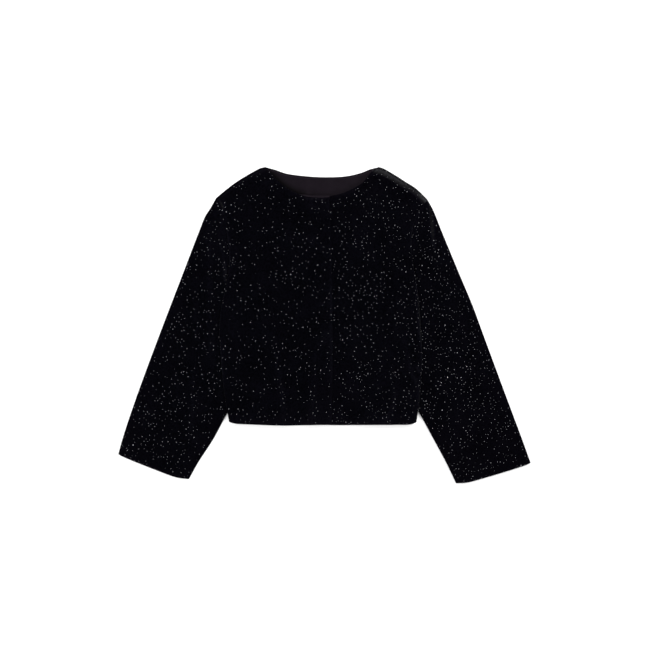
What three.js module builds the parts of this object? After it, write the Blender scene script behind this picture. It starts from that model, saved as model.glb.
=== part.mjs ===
// Short collarless jacket of glitter velvet, laid flat on its back with its front up and closed.
// Frame: +X across the front, towards the wearer's left sleeve, +Y towards the neck, +Z out of
// the front. The origin is on the surface under the middle of the laid garment. Millimetres.
import * as THREE from 'three';

// Cloth.
const WALL = 2; // velvet with its lining
const FACING_WALL = 1; // lining cloth inside the back of the neck
const SEAM_GAP = 0.3; // between two pieces that touch
const ARMHOLE_GAP = 0.4; // between the sleeve head and the armhole

// Depths of the layers, from the surface up.
const HOLLOW = FACING_WALL + 2 * SEAM_GAP; // between the back and the fronts
const BODY_DEPTH = 2 * WALL + HOLLOW;
const SEAM_PLANE = BODY_DEPTH / 2; // height at which front and back are sewn together
const TUCKED_DEPTH = 2 * WALL + 0.8; // sleeve pressed flat under the body
const TUCK_LIFT = TUCKED_DEPTH + SEAM_GAP + 0.1; // body raised by the sleeve under it

// Edges.
const ROLL = 4.2; // width of the rounded edge at a side or shoulder seam
const SET_IN_WIDTH = 3 * ROLL; // inside which the wall's inner points are drawn in
const FREE_ROUND = 0.6; // softening of a free edge, up and down
const FREE_WIDTH = 1.4; // and across
const HEM_SET_BACK = 1.5; // the back's hem lies this far short of the front's
const HEM_BLEND = 20; // and this far up the back its rows are shifted

// The front fastening: the wearer's right front lies on top of the left one.
const CLOSURE_OVERLAP = 30;
const CLOSURE_LIFT = WALL + SEAM_GAP + 0.1;
const CLOSURE_RAMP = 24; // over which the top front climbs on to the lower one
const CLOSURE_CLEAR = 3; // before the lower front's edge it is fully raised

// The sleeves' inner parts are tucked beneath the body.
const TUCK_REACH = 60; // how far in from the side edge the body is raised
const TUCK_RAMP = 28; // and the slope beside it
const TUCK_FULL = 113; // height along Y below which the body is fully raised at its side
const TUCK_NONE = 150; // and above which it lies flat
const HEAD_SEWN = 106; // height along Y down to which the sleeve lies beside the body
const UNDERARM = 64; // height along Y where the armhole ends and the side seam starts
const SEAM_OPEN = 100; // and above which the body's edges aren't sewn to each other

// Outlines of the laid garment. "out" is measured from the frame's middle towards the side
// named, and "up" towards the neck.
const SIDES = {
  right: {
    sign: -1,
    closure: [
      { out: -8.2, up: 205 },
      { out: -11.8, up: 101 },
      { out: -13.1, up: -65 },
      { out: -12, up: -159.4 },
    ],
    neckline: [
      { out: -8.2, up: 205 },
      { out: 3.8, up: 204.3 },
      { out: 18.7, up: 204.8 },
      { out: 33.8, up: 207.1 },
      { out: 47.2, up: 212.1 },
      { out: 60.6, up: 219.7 },
      { out: 74.1, up: 230.2 },
      { out: 85.4, up: 241.9 },
      { out: 94.6, up: 253 },
    ],
    shoulder: [
      { out: 94.6, up: 253 },
      { out: 102.5, up: 251.3 },
      { out: 110, up: 247.6 },
      { out: 127, up: 237.9 },
      { out: 142.2, up: 228.3 },
      { out: 155, up: 218.7 },
      { out: 173.8, up: 203.2 },
    ],
    armhole: [
      { out: 173.8, up: 203.2 },
      { out: 165.8, up: 193 },
      { out: 159.6, up: 161 },
      { out: 154.4, up: 130 },
      { out: 152.5, up: 98 },
      { out: 156.4, up: 64 },
    ],
    side: [
      { out: 156.4, up: 64 },
      { out: 164.3, up: 30 },
      { out: 167.8, up: -11 },
      { out: 166, up: -40 },
      { out: 161.6, up: -94 },
      { out: 157.4, up: -125 },
      { out: 152.4, up: -154.4 },
    ],
    hem: [
      { out: -12, up: -159.4 },
      { out: 20, up: -159.8 },
      { out: 63, up: -160.6 },
      { out: 119, up: -158.6 },
      { out: 143, up: -157.2 },
      { out: 152.4, up: -154.4 },
    ],
    // The sleeve: its top fold, its cuff, its underarm fold and the part of its head that is tucked in.
    sleeveTop: [
      { out: 173.8, up: 203.2 },
      { out: 183.8, up: 185.1 },
      { out: 190.2, up: 175.5 },
      { out: 200, up: 151.5 },
      { out: 227.7, up: 79.5 },
      { out: 264.5, up: -16.5 },
      { out: 300, up: -112.5 },
      { out: 321.6, up: -176.5 },
      { out: 330, up: -206.5 },
    ],
    cuff: [
      { out: 330, up: -206.5 },
      { out: 323, up: -210.3 },
      { out: 275.8, up: -229.5 },
      { out: 236, up: -243.9 },
      { out: 217, up: -246.4 },
    ],
    sleeveUnder: [
      { out: 114, up: 46 },
      { out: 112, up: 0 },
      { out: 119, up: -55 },
      { out: 135, up: -104 },
      { out: 156.2, up: -141.6 },
      { out: 177.3, up: -181.3 },
      { out: 202.1, up: -219.7 },
      { out: 217, up: -246.4 },
    ],
    headTuck: [
      { out: 146, up: 76 },
      { out: 133, up: 58 },
      { out: 114, up: 46 },
    ],
  },
  left: {
    sign: 1,
    closure: [
      { out: 12 - CLOSURE_OVERLAP, up: 205.8 },
      { out: 13 - CLOSURE_OVERLAP, up: -65 },
      { out: 12 - CLOSURE_OVERLAP, up: -159 },
    ],
    neckline: [
      { out: 12 - CLOSURE_OVERLAP, up: 205.8 },
      { out: 0, up: 205.9 },
      { out: 15.5, up: 207.6 },
      { out: 30.6, up: 211.6 },
      { out: 49.9, up: 220.9 },
      { out: 61.5, up: 228.4 },
      { out: 69.5, up: 238.5 },
      { out: 77, up: 247 },
      { out: 86.4, up: 253 },
    ],
    shoulder: [
      { out: 86.4, up: 253 },
      { out: 93, up: 251.2 },
      { out: 100.4, up: 247.4 },
      { out: 116.3, up: 237.9 },
      { out: 131.2, up: 228.3 },
      { out: 146.2, up: 218.7 },
      { out: 165.1, up: 200.6 },
    ],
    armhole: [
      { out: 165.1, up: 200.6 },
      { out: 155.5, up: 188.5 },
      { out: 145.6, up: 168.3 },
      { out: 139.4, up: 142 },
      { out: 140.6, up: 108 },
      { out: 147.2, up: 64 },
    ],
    side: [
      { out: 147.2, up: 64 },
      { out: 150.1, up: 30 },
      { out: 153.9, up: -28.5 },
      { out: 155, up: -60 },
      { out: 151.9, up: -119.7 },
      { out: 146.8, up: -155 },
    ],
    hem: [
      { out: 12 - CLOSURE_OVERLAP, up: -159 },
      { out: 16, up: -160 },
      { out: 75, up: -159.5 },
      { out: 110, up: -159.2 },
      { out: 138, up: -158.4 },
      { out: 146.8, up: -155 },
    ],
    sleeveTop: [
      { out: 165.1, up: 200.6 },
      { out: 173.4, up: 185.1 },
      { out: 187, up: 151.5 },
      { out: 216.8, up: 79.5 },
      { out: 236.9, up: 31.5 },
      { out: 254.6, up: -16.5 },
      { out: 290.1, up: -112.5 },
      { out: 314, up: -176.5 },
      { out: 330, up: -220.5 },
    ],
    cuff: [
      { out: 330, up: -220.5 },
      { out: 320, up: -224.7 },
      { out: 289.9, up: -234.4 },
      { out: 258.2, up: -243.9 },
      { out: 228, up: -252 },
      { out: 210.5, up: -253 },
    ],
    sleeveUnder: [
      { out: 106, up: 46 },
      { out: 104, up: 0 },
      { out: 112, up: -55 },
      { out: 129, up: -102 },
      { out: 150.6, up: -138.9 },
      { out: 173.8, up: -181.3 },
      { out: 194.5, up: -219.7 },
      { out: 210.5, up: -253 },
    ],
    headTuck: [
      { out: 136, up: 76 },
      { out: 124, up: 58 },
      { out: 106, up: 46 },
    ],
  },
};

// The back's neckline, from the wearer's right shoulder to the left one.
const BACK_NECKLINE = [
  { x: -94.6, up: 253 },
  { x: -78.6, up: 248.4 },
  { x: -62.6, up: 242.4 },
  { x: -38.6, up: 238.4 },
  { x: -4.2, up: 235.9 },
  { x: 33.4, up: 237.4 },
  { x: 57.4, up: 243.2 },
  { x: 73.4, up: 249.6 },
  { x: 86.4, up: 253 },
];
const FACING_DEPTH = 46; // down the middle of the back
const FACING_INSET = 1.6; // from the neckline's edge
const FACING_END = 7; // from the shoulder seams
const FACING_CURVE = 22; // how much shallower it is at its two ends
const FACING_FLARE = 4; // how far its lower corners stand out past the neck points

// The largest soft folds of the fronts: standing ridges that rise from the hem. "x" is at the
// hem, "lean" is how far the top end lies sideways of it, "spread" is the half width.
const FRONT_FOLDS = [
  { x: -64, lean: 4, top: -46, bottom: -160, spread: 10.3, rise: 2.4 },
  { x: -14, lean: -3, top: -30, bottom: -160, spread: 11.9, rise: 1.6 },
  { x: 112, lean: 3, top: -84, bottom: -160, spread: 9.5, rise: 1.8 },
];
const FOLD_FADES = 0.45; // share of a fold's height at which it starts to die away
const UNDERLAP_PLAIN = { from: 14, to: 30 }; // the lower front has no fold under the upper one

// Soft folds across the sleeves, as shares of the sleeve's length from its head.
const SLEEVE_FOLDS = [
  { along: 0.36, slant: 0.1, spread: 0.055, rise: 1.6 },
  { along: 0.58, slant: -0.08, spread: 0.07, rise: 1.3 },
  { along: 0.8, slant: 0.05, spread: 0.05, rise: 1 },
];
const SLEEVE_FOLD_ENDS = 0.25; // share of the width over which they die away at both edges
const SHOWN_FROM = 2; // distance beyond the body's side at which they begin
const SHOWN_FULL = 16;
// Fullness of the sleeve beside the underarm.
const PUCKER = { rise: 2.4, low: 122, high: 134, falls: 140, end: 165, near: 4, reach: 44 };
const BEAD = { rise: 1.5, spread: 10.6, sideShare: 0.6 }; // fullness inside the shoulder and side seams

// Grid spacings: the first lines inside an edge, and how many even steps lie between them.
const SEAM_LINES = [0, 0.5, 1.7, ROLL];
const FREE_LINES = [0, FREE_WIDTH];
const ROLL_SHARES = [0, 0.12, 0.45, 1]; // lines across a sleeve's rounded fold
const NECK_SHARE = 0.55; // of a front's columns, those that end on the neckline
const SHOULDER_SHARE = 0.25; // of the back's columns, those that end on each shoulder
const BODY_STEPS = 19; // up the body, the same for the fronts and the back
const FRONT_STEPS = 13;
const BACK_STEPS = 20;
const BESIDE_CORNER = 5; // from the neck point's column to the ones on both sides of it
const FACING_STEPS = { across: 18, along: 3 };
const SLEEVE_STEPS = { across: 8, along: 17 };
const TUCK_STEPS = 5; // along the part of the sleeve head that is tucked in
const SLEEVE_ROLL = 3.8; // width of the rounded folds along the sleeve
const ON_BODY = { from: 122, to: 140 }; // heights along Y over which the sleeve gets as deep as the body

// Small helpers.
const clamp = (value, low, high) => Math.min(Math.max(value, low), high);
const mix = (from, to, share) => from + (to - from) * share;

function smooth(from, to, value) {
  const share = clamp((value - from) / (to - from), 0, 1);
  return share * share * (3 - 2 * share);
}

// A soft ridge: 1 on its line, and dying away over its spread.
const bump = (off, spread) => Math.exp(-((off / spread) ** 2));

// How far a quarter-round edge has fallen at this distance inside it: 1 at the edge, 0 past its width.
function roundOff(distance, width) {
  const share = 1 - clamp(distance / width, 0, 1);
  return 1 - Math.sqrt(1 - share * share);
}

// A smooth curve through the rows of a table, with its points evenly spaced along it.
function curveOf(rows, sign = 1) {
  const points = rows.map((row) => new THREE.Vector3((row.x ?? sign * row.out), row.up, 0));
  return new THREE.CatmullRomCurve3(points, false, 'centripetal');
}

const SAMPLES = 90;

function polyline(...curves) {
  const points = [];
  for (const curve of curves) {
    const spaced = curve.getSpacedPoints(SAMPLES);
    points.push(...(points.length ? spaced.slice(1) : spaced));
  }
  return points;
}

// The nearest point of a polyline: its distance and the way from it to the point asked about.
function nearest(line, x, y) {
  let best = { distance: Infinity, wayX: 0, wayY: 0 };
  for (let i = 0; i + 1 < line.length; i += 1) {
    const a = line[i];
    const b = line[i + 1];
    const dx = b.x - a.x;
    const dy = b.y - a.y;
    const t = clamp(((x - a.x) * dx + (y - a.y) * dy) / (dx * dx + dy * dy), 0, 1);
    const offX = x - a.x - t * dx;
    const offY = y - a.y - t * dy;
    const distance = Math.hypot(offX, offY);
    if (distance < best.distance) {
      best = { distance, wayX: offX, wayY: offY, alongX: dx, alongY: dy };
    }
  }
  return best;
}

// Curves of each side, and the polylines that distances are measured from.
const CURVES = {};
for (const [name, table] of Object.entries(SIDES)) {
  const curves = { sign: table.sign };
  for (const [edge, rows] of Object.entries(table)) {
    if (Array.isArray(rows)) curves[edge] = curveOf(rows, table.sign);
  }
  curves.seamLine = polyline(curves.armhole, curves.side);
  curves.shoulderLine = polyline(curves.shoulder);
  CURVES[name] = curves;
}
const backNeckCurve = curveOf(BACK_NECKLINE);

// How strongly the side edge is closed by a seam: fully at the side, and open at the armhole.
const closed = (y) => 1 - smooth(UNDERARM, SEAM_OPEN, y);

// Where a point lies from the sewn edges of its side of the body.
function seamEdges(x, y) {
  const side = CURVES[x < 0 ? 'right' : 'left'];
  const atSide = nearest(side.seamLine, x, y);
  const atShoulder = nearest(side.shoulderLine, x, y);
  return { atSide, atShoulder, weight: closed(y) };
}

// How far the sewn edges have turned over: 1 at a seam, 0 on the flat.
function turned(edges, inset) {
  const width = ROLL - inset;
  const shoulder = roundOff(edges.atShoulder.distance - inset, width);
  const side = roundOff(edges.atSide.distance - inset, width) * edges.weight;
  return Math.max(shoulder, side);
}

// The sleeves' tucked parts raise the body along its sides.
function tuckLift(edges, y) {
  const near = 1 - smooth(TUCK_REACH, TUCK_REACH + TUCK_RAMP, edges.atSide.distance);
  return TUCK_LIFT * near * (1 - smooth(TUCK_FULL, TUCK_NONE, y));
}

function foldRise(x, y) {
  let rise = 0;
  for (const fold of FRONT_FOLDS) {
    const share = clamp((y - fold.bottom) / (fold.top - fold.bottom), 0, 1);
    const fades = 1 - smooth(FOLD_FADES, 1, share);
    rise += fold.rise * fades * bump(x - fold.x - fold.lean * share, fold.spread);
  }
  return rise;
}

function beadRise(edges) {
  const shoulder = bump(edges.atShoulder.distance, BEAD.spread);
  const side = bump(edges.atSide.distance, BEAD.spread) * edges.weight * BEAD.sideShare;
  return BEAD.rise * Math.max(shoulder, side);
}

// What the heights of the body's cloth are worked out from at a point.
function heights(x, y, inset) {
  const edges = seamEdges(x, y);
  return { edges, lift: tuckLift(edges, y), flat: 1 - turned(edges, inset) };
}

function frontHeight(x, y, inside, layer) {
  const inset = inside ? WALL : 0;
  const at = heights(x, y, inset);
  const folds = foldRise(x, y) * layer.folds(x);
  const full = BODY_DEPTH / 2 - SEAM_GAP / 2 + folds + beadRise(at.edges) - inset;
  return at.lift + layer.climb(x) + SEAM_PLANE + SEAM_GAP / 2 + full * at.flat;
}

function backHeight(x, y, inside) {
  const inset = inside ? WALL : 0;
  const at = heights(x, y, inset);
  return at.lift + inset + (SEAM_PLANE - SEAM_GAP / 2 - inset) * (1 - at.flat);
}

// A point of the wall's inside is set in from the sewn edges by the wall's thickness, square to
// them and towards the garment's middle.
function setIn(x, y) {
  const edges = seamEdges(x, y);
  let outX = x;
  let outY = y;
  for (const [near, weight] of [[edges.atSide, edges.weight], [edges.atShoulder, 1]]) {
    const share = weight * (1 - clamp(near.distance / SET_IN_WIDTH, 0, 1));
    const length = Math.hypot(near.alongX, near.alongY);
    const way = near.alongY * x > 0 ? -1 : 1;
    outX += (way * near.alongY * WALL * share) / length;
    outY -= (way * near.alongX * WALL * share) / length;
  }
  return [outX, outY];
}

// Shares from 0 to 1 with the given lines inside each end and even steps between.
function spacing(length, startLines, endLines, steps) {
  const start = startLines[startLines.length - 1];
  const end = length - endLines[endLines.length - 1];
  const shares = startLines.map((line) => line / length);
  for (let i = 1; i < steps; i += 1) shares.push(mix(start, end, i / steps) / length);
  for (let i = endLines.length - 1; i >= 0; i -= 1) shares.push(1 - endLines[i] / length);
  return shares;
}

// A four-sided patch of the plane between its edge curves.
function patch(low, high, start, end) {
  return (u, v) => {
    const a = low(u);
    const b = high(u);
    const c = start(v);
    const d = end(v);
    const c00 = low(0);
    const c10 = low(1);
    const c01 = high(0);
    const c11 = high(1);
    const point = (axis) => (
      (1 - v) * a[axis] + v * b[axis] + (1 - u) * c[axis] + u * d[axis]
      - (1 - u) * (1 - v) * c00[axis] - u * (1 - v) * c10[axis]
      - (1 - u) * v * c01[axis] - u * v * c11[axis]
    );
    return [point('x'), point('y')];
  };
}

// One closed wall from a grid of outer points and the grid of inner points behind them.
// A grid that closes on itself is a tube, with rims at its two ends.
function wall(outer, inner, { tube = false, flip = false } = {}) {
  const rows = outer.length;
  const columns = outer[0].length;
  const positions = [...outer.flat(2), ...inner.flat(2)];
  const offset = rows * columns;
  const index = [];
  const quad = (a, b, c, d) => {
    if (flip) index.push(a, c, b, a, d, c);
    else index.push(a, b, c, a, c, d);
  };
  const at = (row, column) => row * columns + (column % columns);
  const spans = tube ? columns : columns - 1;
  for (let r = 0; r + 1 < rows; r += 1) {
    for (let c = 0; c < spans; c += 1) {
      quad(at(r, c), at(r, c + 1), at(r + 1, c + 1), at(r + 1, c));
      quad(offset + at(r, c), offset + at(r + 1, c), offset + at(r + 1, c + 1), offset + at(r, c + 1));
    }
  }
  for (let c = 0; c < spans; c += 1) {
    quad(at(0, c + 1), at(0, c), offset + at(0, c), offset + at(0, c + 1));
    quad(at(rows - 1, c), at(rows - 1, c + 1), offset + at(rows - 1, c + 1), offset + at(rows - 1, c));
  }
  if (!tube) {
    const last = columns - 1;
    for (let r = 0; r + 1 < rows; r += 1) {
      quad(at(r, 0), at(r + 1, 0), offset + at(r + 1, 0), offset + at(r, 0));
      quad(at(r + 1, last), at(r, last), offset + at(r, last), offset + at(r + 1, last));
    }
  }
  const geometry = new THREE.BufferGeometry();
  geometry.setAttribute('position', new THREE.Float32BufferAttribute(positions, 3));
  geometry.setIndex(index);
  geometry.computeVertexNormals();
  return geometry;
}

// How much a face of the cloth is softened near the free edges.
function softening(freeLines, x, y, flat) {
  const distance = Math.min(...freeLines.map((line) => nearest(line, x, y).distance));
  return FREE_ROUND * roundOff(distance, FREE_WIDTH) * flat;
}

// Curves as functions of a share of their length, joined end to end where there are several.
function edgeOf(curve, backwards = false) {
  return (share) => curve.getPointAt(clamp(backwards ? 1 - share : share, 0, 1));
}

function joined(parts) {
  return (share) => {
    const part = parts.find((each) => share <= each.to) ?? parts[parts.length - 1];
    return part.edge((share - part.from) / (part.to - part.from));
  };
}

// A body side's edge from the hem to the shoulder, and the rows that cross it.
function seamEdge(side) {
  const sideLength = side.side.getLength();
  const length = sideLength + side.armhole.getLength();
  const share = sideLength / length;
  const edge = joined([
    { from: 0, to: share, edge: edgeOf(side.side, true) },
    { from: share, to: 1, edge: edgeOf(side.armhole, true) },
  ]);
  return { edge, rows: spacing(length, FREE_LINES, SEAM_LINES, BODY_STEPS) };
}

// The neck point is a corner of the outline, so a column runs up to it, with one close on each side.
function withCorner(shares, corner, width) {
  const close = BESIDE_CORNER / width;
  const others = shares.filter((share) => Math.abs(share - corner) > 2 * close);
  return [...others, corner - close, corner, corner + close].sort((a, b) => a - b);
}

// One front: from its closure edge to its side, and from its hem to its neck and shoulder.
function makeFront(name) {
  const side = CURVES[name];
  const top = joined([
    { from: 0, to: NECK_SHARE, edge: edgeOf(side.neckline) },
    { from: NECK_SHARE, to: 1, edge: edgeOf(side.shoulder) },
  ]);
  const { edge, rows } = seamEdge(side);
  const plan = patch(edgeOf(side.hem), top, edgeOf(side.closure, true), edge);
  const width = side.hem.getLength();
  const across = withCorner(spacing(width, FREE_LINES, SEAM_LINES, FRONT_STEPS), NECK_SHARE, width);
  const freeLines = [polyline(side.neckline), polyline(side.closure), polyline(side.hem)];
  const lowerEdge = SIDES.left.closure[1].out;
  const upperLayer = {
    climb: (x) => CLOSURE_LIFT * smooth(lowerEdge - CLOSURE_RAMP, lowerEdge - CLOSURE_CLEAR, x),
    folds: () => 1,
  };
  const lowerLayer = {
    climb: () => 0,
    folds: (x) => smooth(UNDERLAP_PLAIN.from, UNDERLAP_PLAIN.to, x),
  };
  const layer = name === 'right' ? upperLayer : lowerLayer;
  const outer = [];
  const inner = [];
  for (const v of rows) {
    const outerRow = [];
    const innerRow = [];
    for (const u of across) {
      const [x, y] = plan(u, v);
      const [inX, inY] = setIn(x, y);
      const soft = softening(freeLines, x, y, heights(x, y, 0).flat);
      outerRow.push([x, y, frontHeight(x, y, false, layer) - soft]);
      innerRow.push([inX, inY, frontHeight(inX, inY, true, layer) + soft]);
    }
    outer.push(outerRow);
    inner.push(innerRow);
  }
  return wall(outer, inner, { flip: side.sign < 0 });
}

// The back, under both fronts. Its hem follows theirs and is set back from it.
function makeBack() {
  const { right, left } = CURVES;
  const top = joined([
    { from: 0, to: SHOULDER_SHARE, edge: edgeOf(right.shoulder, true) },
    { from: SHOULDER_SHARE, to: 1 - SHOULDER_SHARE, edge: edgeOf(backNeckCurve) },
    { from: 1 - SHOULDER_SHARE, to: 1, edge: edgeOf(left.shoulder) },
  ]);
  const hemRows = [
    ...SIDES.right.hem.map((row) => ({ x: -row.out, up: row.up })).reverse(),
    ...SIDES.left.hem.slice(1).map((row) => ({ x: row.out, up: row.up })),
  ];
  const hemCurve = curveOf(hemRows);
  const hem = edgeOf(hemCurve);
  const plan = patch(hem, top, seamEdge(right).edge, seamEdge(left).edge);
  const width = hemCurve.getLength();
  let across = spacing(width, SEAM_LINES, SEAM_LINES, BACK_STEPS);
  for (const corner of [SHOULDER_SHARE, 1 - SHOULDER_SHARE]) across = withCorner(across, corner, width);
  const { rows } = seamEdge(right);
  const freeLines = [polyline(backNeckCurve), polyline(hemCurve)];
  const outer = [];
  const inner = [];
  for (const v of rows) {
    const outerRow = [];
    const innerRow = [];
    for (const u of across) {
      const [x, planY] = plan(u, v);
      const y = planY + HEM_SET_BACK * (1 - smooth(0, HEM_BLEND, planY - hem(u).y));
      const [inX, inY] = setIn(x, y);
      const soft = softening(freeLines, x, planY, heights(x, y, 0).flat);
      outerRow.push([x, y, backHeight(x, y, false)]);
      innerRow.push([inX, inY, backHeight(inX, inY, true) - soft]);
    }
    outer.push(outerRow);
    inner.push(innerRow);
  }
  return wall(outer, inner, { flip: true });
}

// The lining cloth that shows inside the back of the neck, laid on the back.
function makeFacing() {
  const low = BACK_NECKLINE[0];
  const high = BACK_NECKLINE[BACK_NECKLINE.length - 1];
  const neck = (share) => {
    const ends = FACING_END / backNeckCurve.getLength();
    const point = backNeckCurve.getPointAt(mix(ends, 1 - ends, share));
    return { x: point.x, y: point.y - FACING_INSET };
  };
  const lower = (share) => {
    const x = mix(low.x - FACING_FLARE, high.x + FACING_FLARE, share);
    const off = (share - 0.5) * 2;
    return { x, y: neck(0.5).y - FACING_DEPTH + FACING_CURVE * off * off };
  };
  const end = (from, to) => (share) => ({ x: mix(from.x, to.x, share), y: mix(from.y, to.y, share) });
  const plan = patch(lower, neck, end(lower(0), neck(0)), end(lower(1), neck(1)));
  const outer = [];
  const inner = [];
  const { across, along } = FACING_STEPS;
  for (let r = 0; r <= along; r += 1) {
    const outerRow = [];
    const innerRow = [];
    for (let c = 0; c <= across; c += 1) {
      const [x, y] = plan(c / across, r / along);
      const base = backHeight(x, y, true) + SEAM_GAP;
      outerRow.push([x, y, base + FACING_WALL]);
      innerRow.push([x, y, base]);
    }
    outer.push(outerRow);
    inner.push(innerRow);
  }
  return wall(outer, inner);
}

// A line through corners, as a function of a share of its length.
function straightBetween(corners) {
  const path = new THREE.CurvePath();
  for (let i = 0; i + 1 < corners.length; i += 1) path.add(new THREE.LineCurve3(corners[i], corners[i + 1]));
  return edgeOf(path);
}

// The sleeve head runs along the armhole's corners and then turns in beneath the body.
function headEdge(name) {
  const { sign, headTuck } = SIDES[name];
  const { edge, rows } = seamEdge(CURVES[name]);
  const sewn = rows.map(edge).filter((point) => point.y > HEAD_SEWN).reverse();
  const corners = sewn.map((point, i) => {
    const before = sewn[Math.max(i - 1, 0)];
    const after = sewn[Math.min(i + 1, sewn.length - 1)];
    const length = Math.hypot(after.x - before.x, after.y - before.y);
    const outX = (sign * (before.y - after.y)) / length;
    const outY = (sign * (after.x - before.x)) / length;
    return new THREE.Vector3(point.x + outX * ARMHOLE_GAP, point.y + outY * ARMHOLE_GAP, 0);
  });
  const turn = headTuck.map((row) => new THREE.Vector3(sign * row.out, row.up, 0));
  const tucked = new THREE.CatmullRomCurve3([corners[corners.length - 1], ...turn], false, 'centripetal');
  return straightBetween([...corners, ...tucked.getSpacedPoints(TUCK_STEPS).slice(1)]);
}

// How deep the flattened sleeve is at a point: least where it is tucked under the body.
function sleeveDepth(name, x, y, along, across) {
  const side = CURVES[name];
  const beside = nearest(side.seamLine, x, y);
  const outside = side.sign * (beside.wayY * beside.alongX - beside.wayX * beside.alongY) > 0;
  let depth = mix(TUCKED_DEPTH, BODY_DEPTH, smooth(ON_BODY.from, ON_BODY.to, y));
  if (!outside) return depth;
  const ends = smooth(0, SLEEVE_FOLD_ENDS, across) * smooth(0, SLEEVE_FOLD_ENDS, 1 - across);
  const shown = smooth(SHOWN_FROM, SHOWN_FULL, beside.distance) * ends;
  for (const fold of SLEEVE_FOLDS) {
    depth += fold.rise * shown * bump(along - fold.along - fold.slant * (across - 0.5), fold.spread);
  }
  const pucker = smooth(PUCKER.low, PUCKER.high, y) * (1 - smooth(PUCKER.falls, PUCKER.end, y));
  depth += PUCKER.rise * pucker * (1 - smooth(PUCKER.near, PUCKER.reach, beside.distance));
  return depth;
}

// A sleeve: a tube pressed flat, open at its head and its cuff.
function makeSleeve(name) {
  const side = CURVES[name];
  const head = headEdge(name);
  const [, ...topRows] = SIDES[name].sleeveTop;
  const topRowsOut = topRows.map((row) => new THREE.Vector3(side.sign * row.out, row.up, 0));
  const topFold = new THREE.CatmullRomCurve3([head(0), ...topRowsOut], false, 'centripetal');
  const plan = patch(head, edgeOf(side.cuff), edgeOf(topFold), edgeOf(side.sleeveUnder));
  const length = topFold.getLength();
  const along = spacing(length, FREE_LINES, FREE_LINES, SLEEVE_STEPS.along);
  const outer = [];
  const inner = [];
  along.forEach((v) => {
    const a = plan(0, v);
    const b = plan(1, v);
    const width = Math.hypot(a[0] - b[0], a[1] - b[1]);
    const fromEnd = Math.min(v, 1 - v) * length;
    const ring = (inset) => {
      const roll = SLEEVE_ROLL - inset;
      const lines = ROLL_SHARES.map((share) => share * roll);
      const shares = spacing(width - 2 * inset, lines, lines, SLEEVE_STEPS.across);
      const top = [];
      const bottom = [];
      shares.forEach((share, i) => {
        const u = (inset + share * (width - 2 * inset)) / width;
        const [x, y] = plan(u, v);
        const edge = Math.min(share, 1 - share) * (width - 2 * inset);
        const depth = sleeveDepth(name, x, y, v, u);
        const middle = TUCKED_DEPTH / 2;
        const flat = 1 - roundOff(edge, roll);
        const ease = FREE_ROUND * roundOff(fromEnd, FREE_WIDTH) * (inset ? -1 : 1);
        const up = depth - inset - middle;
        const down = middle - inset;
        const last = i === 0 || i === shares.length - 1;
        top.push([x, y, middle + (last ? 0 : (up - ease) * flat)]);
        if (!last) bottom.push([x, y, middle - down * flat]);
      });
      return [...top, ...bottom.reverse()];
    };
    outer.push(ring(0));
    inner.push(ring(WALL));
  });
  return wall(outer, inner, { tube: true, flip: side.sign < 0 });
}

// The finished jacket.
const VELVET = { color: 0x07060b, roughness: 0.95, metalness: 0 };
const LINING = { color: 0x2b232c, roughness: 0.8, metalness: 0 };

const jacket = new THREE.Group();

function add(name, geometry, finish) {
  const mesh = new THREE.Mesh(geometry, new THREE.MeshStandardMaterial(finish));
  mesh.name = name;
  jacket.add(mesh);
}

add('back', makeBack(), VELVET);
add('back_neck_facing', makeFacing(), LINING);
add('front_left', makeFront('left'), VELVET);
add('front_right', makeFront('right'), VELVET);
add('sleeve_left', makeSleeve('left'), VELVET);
add('sleeve_right', makeSleeve('right'), VELVET);

export default jacket;
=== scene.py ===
"""Looks for a short collarless jacket of glitter velvet, laid flat on its back with its front up.

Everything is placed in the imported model's frame, and the tables are in millimetres. A side's
edges have their points out from the middle and up towards the neck. All other points are X and Y,
with X towards the wearer's left.
"""
import math

import bpy
import numpy as np
from mathutils.kdtree import KDTree
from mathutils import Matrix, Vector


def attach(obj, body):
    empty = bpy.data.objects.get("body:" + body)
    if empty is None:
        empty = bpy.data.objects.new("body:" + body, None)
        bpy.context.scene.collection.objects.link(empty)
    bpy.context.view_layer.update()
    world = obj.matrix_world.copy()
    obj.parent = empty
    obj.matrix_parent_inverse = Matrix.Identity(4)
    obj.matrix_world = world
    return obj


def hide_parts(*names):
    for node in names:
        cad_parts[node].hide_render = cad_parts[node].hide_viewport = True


MM = 0.001
TINY = 1e-12

# Cloth and the depths of its layers, as in the solids.
WALL = 2.0
FACING_WALL = 1.0
SEAM_GAP = 0.3
LAID_GAP = 0.1  # more room where one layer lies loose on another
HOLLOW = FACING_WALL + 2 * SEAM_GAP
SLEEVE_HOLLOW = 0.8
BODY_DEPTH = 2 * WALL + HOLLOW
SEAM_PLANE = BODY_DEPTH / 2
TUCKED_DEPTH = 2 * WALL + SLEEVE_HOLLOW
TUCK_LIFT = TUCKED_DEPTH + SEAM_GAP + LAID_GAP

# Edges: how wide sewn and folded ones roll over, and how free ones are rounded.
ROLL = 4.2
SLEEVE_ROLL = 3.8
ROLL_SHARES = [0, 0.03, 0.12, 0.28, 0.5, 0.75, 1.0]
SET_IN_WIDTH = 3 * ROLL
FREE_ROUND = {"depth": 0.85, "width": 1.5}
FREE_UNDER = 0.6  # the rounding of a front's underside, as a share of that of its top
SLEEVE_END_UNDER = 0.5
THINNEST_EDGE = 0.25
HEM_SET_BACK = 1.5  # how much higher the back's hem lies than the fronts'
HEM_BLEND = 20

# The closure: the wearer's right front lies on top.
CLOSURE_LIFT = WALL + SEAM_GAP + LAID_GAP
CLOSURE_RAMP = 24
CLOSURE_CLEAR = 3

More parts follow.
